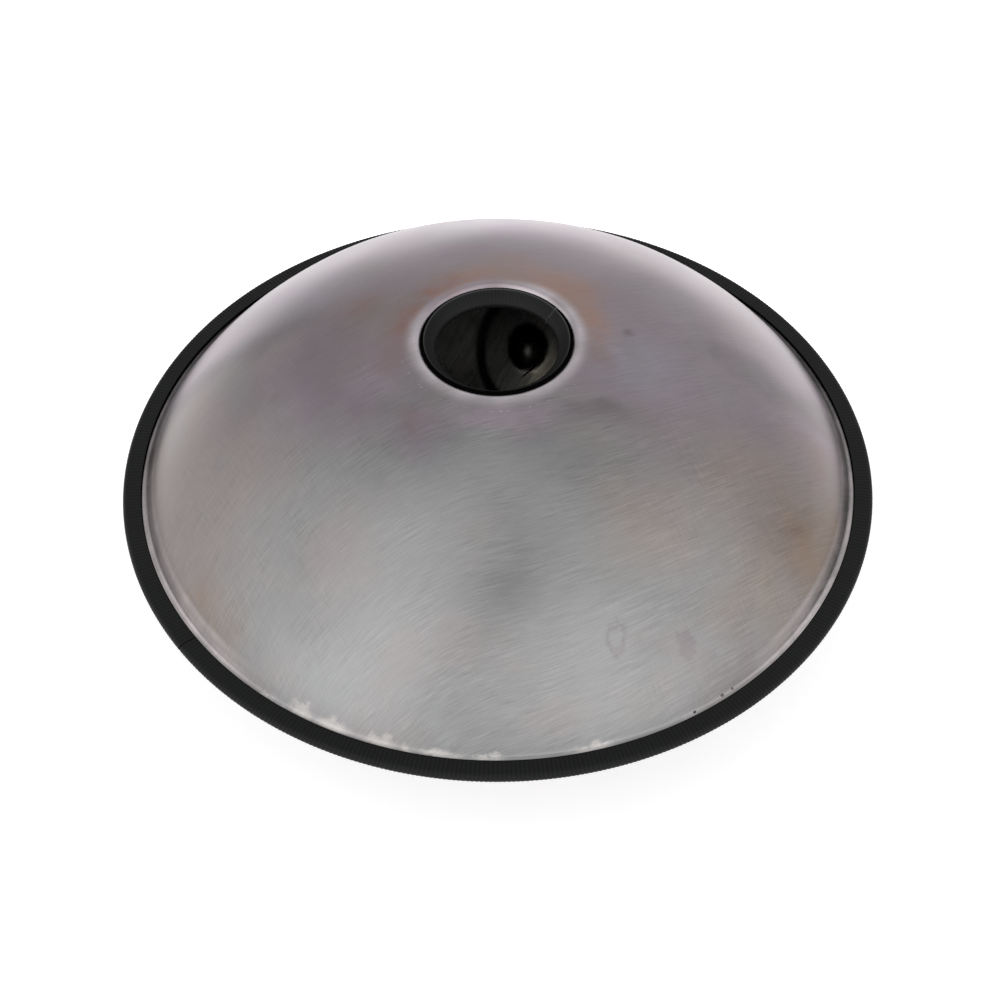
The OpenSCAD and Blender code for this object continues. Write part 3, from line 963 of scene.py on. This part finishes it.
def inside_steel(name, glow):
    """Unbrushed inner face, dark from the furnace; glow places the painted light seen through the port,
    with painted shade and reflection lines round it.
    """
    g = Graph(name)
    cloud = g.noise(g.place, 14.0, 5.0, 0.6, 0.5)
    stain = g.noise(g.place, 90.0, 4.0, 0.65)
    colour = g.mix(g.ramp(cloud, 0.35, 0.65), SCALE_DARK, SCALE_PALE)
    colour = g.mix(g.ramp(stain, 0.50, 0.70, 0.0, 0.5), colour, STAIN)
    if glow:
        at, reach = glow
        # painted light where the light through the port falls
        colour = g.mix(g.patch(g.warped(0.02, 40.0), at, reach, 0.8), colour, INSIDE_GLOW)
        # painted shade: darker to both sides of what shows through the port, and towards the rim
        right = g.math("MULTIPLY", g.ramp(g.x, 0.044, 0.054), g.ramp(g.y, 0.168, 0.182))
        shade = g.math("MAXIMUM", g.math("MULTIPLY", g.ramp(g.x, 0.0, -0.045), 0.6), right)
        colour = g.mix(g.math("MULTIPLY", shade, 0.85), colour, INSIDE_SHADE)
        colour = g.mix(1.0, colour, g.grey(g.ramp(g.y, 0.145, 0.225, 2.7, 0.22)), "MULTIPLY")
        # drawing lines of the pressed sheet
        drawn = g.noise(g.scaled(g.warped(0.01, 30.0), (30.0, 500.0, 30.0), -55.0), 1.0, 2.0)
        colour = g.mix(1.0, colour, g.grey(g.ramp(drawn, 0.3, 0.7, 0.8, 1.25)), "MULTIPLY")
        # painted dark reflections, as thin lines
        for at, reach, turn in DARK_REFLECTION_LINES:
            line = g.patch(g.warped(0.006, 60.0), at, reach, 0.5, (1.0, 0.09), turn)
            colour = g.mix(line, colour, DARK_REFLECTION_LINE)
    # painted shade along the field borders on the inside face
    border = g.attribute("field_border")
    colour = g.mix(g.ramp(border, 0.10, 0.90, 0.0, 0.97), colour, INSIDE_BORDER_SHADE)
    roughness = g.ramp(stain, 0.3, 0.7, 0.26, 0.42)
    return g.finish(colour, roughness, g.bump(stain, 0.15, 0.0003), Metallic=1.0)


def rubber_colour(g):
    """Black, with painted shade in the grooves, and a little dusty in patches."""
    cloud = g.noise(g.place, 25.0, 4.0, 0.6)
    grain = g.noise(g.place, 2200.0, 2.0, 0.6)
    dust = g.math("MULTIPLY", g.ramp(cloud, 0.45, 0.75), g.ramp(grain, 0.4, 0.7))
    colour = g.mix(g.math("MULTIPLY", dust, 0.4), RUBBER, RUBBER_DUST)
    # painted shade in the rib grooves
    groove = g.attribute("groove")
    colour = g.mix(g.math("MULTIPLY", groove, 0.8), colour, RUBBER_GROOVE_SHADE)
    return colour, g.ramp(cloud, 0.3, 0.7, 0.45, 0.58), g.bump(grain, 0.15, 0.0001)


def rim_rubber():
    g = Graph("trim_rubber_ribbed")
    return g.finish(*rubber_colour(g), Specular_IOR_Level=0.18)


def port_rubber():
    """The port's trim: a painted highlight on its outer edge, above the painted shade beside the steel,
    and painted light further down the lip.
    """
    g = Graph("port_rubber_ribbed")
    colour, roughness, normal = rubber_colour(g)
    outward = g.math("SUBTRACT", g.radius(), PORT_TRIM_AT[0])
    upward = g.math("SUBTRACT", g.z, PORT_TRIM_AT[1] + RIM_Z)
    along = g.math("MULTIPLY_ADD", outward, LIP_DOWN[0], g.math("MULTIPLY", upward, LIP_DOWN[1]))
    # painted highlight on the trim's outer edge
    highlight_share = g.ramp(along, 0.0012, 0.0020, 1.0, 0.0)
    colour = g.mix(g.math("MULTIPLY", highlight_share, 0.9), colour, RUBBER_EDGE_HIGHLIGHT)
    # painted light, lighter further down the lip
    lit = g.ramp(along, 0.004, 0.010)
    colour = g.mix(g.math("MULTIPLY", lit, 0.5), colour, RUBBER_LIT)
    return g.finish(colour, roughness, normal, Specular_IOR_Level=0.16)


def painted_light_rubber(name, base, other, roughness):
    """Rubber painted dark as shade beside the steel, or painted pale as a glint on the cut ends at a
    joint.
    """
    g = Graph(name)
    grain = g.noise(g.place, 900.0, 3.0, 0.6)
    colour = g.mix(g.ramp(grain, 0.35, 0.65), base, other)
    return g.finish(colour, roughness, g.bump(grain, 0.2, 0.0001), Specular_IOR_Level=0.0)


def adhesive():
    """Cured glue line, amber and slightly cloudy."""
    g = Graph("adhesive_cured")
    cloud = g.noise(g.place, 120.0, 4.0, 0.6)
    colour = g.mix(g.ramp(cloud, 0.35, 0.65), GLUE, GLUE_CLOUD)
    return g.finish(colour, g.ramp(cloud, 0.3, 0.7, 0.2, 0.35), g.bump(cloud, 0.2, 0.0002))


def clip_steel():
    """Rolled clip strip with faint drawing lines."""
    g = Graph("clip_steel_rolled")
    lines = g.noise(g.scaled(g.place, (200.0, 200.0, 4000.0)), 1.0, 3.0, 0.6)
    colour = g.mix(g.ramp(lines, 0.35, 0.65), CLIP_DARK, CLIP_PALE)
    return g.finish(colour, g.ramp(lines, 0.3, 0.7, 0.3, 0.45), g.bump(lines, 0.1, 0.0001), Metallic=1.0)


def dress(node, material):
    """Gives a CAD node that stays visible its own material, through its object's slots."""
    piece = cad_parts[node]
    if not piece.material_slots:
        piece.data.materials.append(None)
    for slot in piece.material_slots:
        slot.link = "OBJECT"
        slot.material = material


# ---- studio ----

CAMERA_TARGET = (0.0016, 0.0, RIM_Z - 0.0358)
CAMERA_DISTANCE = 1.5
CAMERA_ELEVATION = 48.76
CAMERA_ROLL = -0.35
CAMERA_LENS = 73.11


def add_camera():
    data = bpy.data.cameras.new("camera")
    data.lens = CAMERA_LENS
    data.clip_end = 50.0
    camera = bpy.data.objects.new("camera", data)
    turn = Matrix.Rotation(math.radians(90 - CAMERA_ELEVATION), 4, "X")
    roll = Matrix.Rotation(math.radians(CAMERA_ROLL), 4, "Z")
    back = Matrix.Translation((0.0, 0.0, CAMERA_DISTANCE))
    camera.matrix_world = Matrix.Translation(CAMERA_TARGET) @ turn @ roll @ back
    bpy.context.scene.collection.objects.link(camera)
    bpy.context.scene.camera = camera


def direction(azimuth, elevation):
    """Unit vector to a place in the studio; azimuth 0 is behind the camera, 90 to the right."""
    a, e = math.radians(azimuth), math.radians(elevation)
    return (math.sin(a) * math.cos(e), -math.cos(a) * math.cos(e), math.sin(e))


# azimuth, elevation, half angle where it fades out, softness, strength
SKY_GLOWS = (
    (-78, 24, 66, 0.9, 1.25),
    (56, 31, 56, 0.9, 0.75),
    (0, 15, 66, 0.9, 0.68),
    (159, 26, 63, 0.9, 0.32),
    (6, 63, 20, 0.9, -0.80),
    (-15, 79, 31, 0.9, 0.62),
    (-95, 34, 51, 0.9, -0.58),
)
SKY_BASE = 0.42


def add_world():
    """Plain studio tent: an even grey with broad soft glows, and two dimmer places."""
    world = bpy.data.worlds.new("studio")
    bpy.context.scene.world = world
    world.use_nodes = True
    g = Nodes(world.node_tree)
    way = g.add("ShaderNodeTexCoord").outputs["Generated"]
    total = 0.0
    for azimuth, elevation, reach, soft, strength in SKY_GLOWS:
        dot = g.add("ShaderNodeVectorMath", operation="DOT_PRODUCT")
        g.feed(dot.inputs[0], way)
        g.feed(dot.inputs[1], direction(azimuth, elevation))
        edge, full = math.cos(math.radians(reach)), math.cos(math.radians(reach * (1 - soft)))
        total = g.math("ADD", total, g.ramp(dot.outputs["Value"], edge, full, 0.0, strength))
    background = g.add("ShaderNodeBackground")
    g.feed(background.inputs["Color"], (1.0, 1.0, 1.0))
    g.feed(background.inputs["Strength"], g.math("ADD", total, SKY_BASE))
    output = g.add("ShaderNodeOutputWorld")
    g.feed(output.inputs["Surface"], background.outputs[0])


def softbox(name, azimuth, elevation, distance, size, power):
    data = bpy.data.lights.new(name, "AREA")
    data.shape = "RECTANGLE"
    data.size, data.size_y = size
    data.energy = power
    light = bpy.data.objects.new(name, data)
    way = np.array(direction(azimuth, elevation))
    turn = Matrix.Rotation(math.radians(azimuth), 4, "Z")
    tilt = Matrix.Rotation(math.radians(90 - elevation), 4, "X")
    light.matrix_world = Matrix.Translation(way * distance) @ turn @ tilt
    light.visible_camera = False
    bpy.context.scene.collection.objects.link(light)


FLOOR_HALF = 8.0
FLOOR_GAP = 0.0001
FLOOR_DULL, FLOOR_PALE = (0.88, 0.88, 0.88), (0.91, 0.91, 0.91)
# light coming up through the floor: middle, reach, softness, stretch, strength
FLOOR_LIGHTS = (
    ((0.0, 0.0), 1.1, 0.6, (1.0, 1.0), 0.42),
    ((0.0, 1.25), 1.3, 0.9, (1.35, 1.0), 1.1),
)


def add_floor():
    """Pale floor, lit from below as a light table: under the instrument and, stronger, beyond it."""
    corners = [(x * FLOOR_HALF, y * FLOOR_HALF, 0) for x, y in ((-1, -1), (1, -1), (1, 1), (-1, 1))]
    mesh = bpy.data.meshes.new("floor")
    mesh.from_pydata(corners, [], [(0, 1, 2, 3)])
    floor = bpy.data.objects.new("floor", mesh)
    floor.location.z = cad_box[0][2] - FLOOR_GAP
    g = Graph("pale_floor")
    cloud = g.noise(g.place, 3.0, 3.0, 0.5)
    colour = g.mix(cloud, FLOOR_DULL, FLOOR_PALE)
    light = 0.0
    for at, reach, soft, stretch, strength in FLOOR_LIGHTS:
        light = g.math("MULTIPLY_ADD", g.patch(g.place, at, reach, soft, stretch), strength, light)
    mesh.materials.append(g.finish(colour, 0.9))
    g.feed(g.shader.inputs["Emission Color"], (1.0, 1.0, 1.0))
    g.feed(g.shader.inputs["Emission Strength"], light)
    bpy.context.scene.collection.objects.link(floor)


def set_look():
    view = bpy.context.scene.view_settings
    view.view_transform = "Standard"
    view.look = "None"
    view.exposure = 0.0
    view.gamma = 1.0


# ---- build ----

gu_outside = tinted_steel("gu_steel_brushed", gu_tints)
ding_outside = tinted_steel("ding_steel_brushed", ding_tints)
gu_inside = inside_steel("gu_inside", None)
ding_inside = inside_steel("ding_inside", INSIDE_GLOW_AT)
# painted shade on the rubber beside the steel
shadow = painted_light_rubber("trim_painted_shade", PAINTED_SHADE_DARK, PAINTED_SHADE_PALE, 0.9)
# painted glint on the port trim's cut ends at its joint
end_glint = painted_light_rubber("trim_end_glint", GLINT_DARK, GLINT_PALE, 0.6)
rim_black = [rim_rubber(), shadow, shadow]
port_black = [port_rubber(), shadow, end_glint]

pieces = [
    make_gu_skin([gu_outside, gu_inside]),
    make_ding_skin([ding_outside, ding_inside]),
    make_trim(
        "rim_trim_ribbed", "rim_trim", BOND_T + 2 * WALL, RIM_TRIM_AT, np.array([1.0, 0.0]),
        RIM_RIBS, RIM_JOINT_ANGLE, RIM_JOINT_GAP, FLANGE_R, rim_black,
    ),
    make_trim(
        "port_trim_ribbed", "port_trim", WALL, PORT_TRIM_AT, LIP_DOWN,
        PORT_RIBS, PORT_JOINT_ANGLE, PORT_JOINT_GAP, PORT_TRIM_AT[0], port_black,
    ),
]
for piece in pieces:
    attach(piece, "root")

dress("rim_bond", adhesive())
dress("rim_trim_core", clip_steel())
dress("port_trim_core", clip_steel())

add_camera()
add_world()
softbox("key", azimuth=-50, elevation=50, distance=2.2, size=(1.4, 1.2), power=0.8)
add_floor()
set_look()
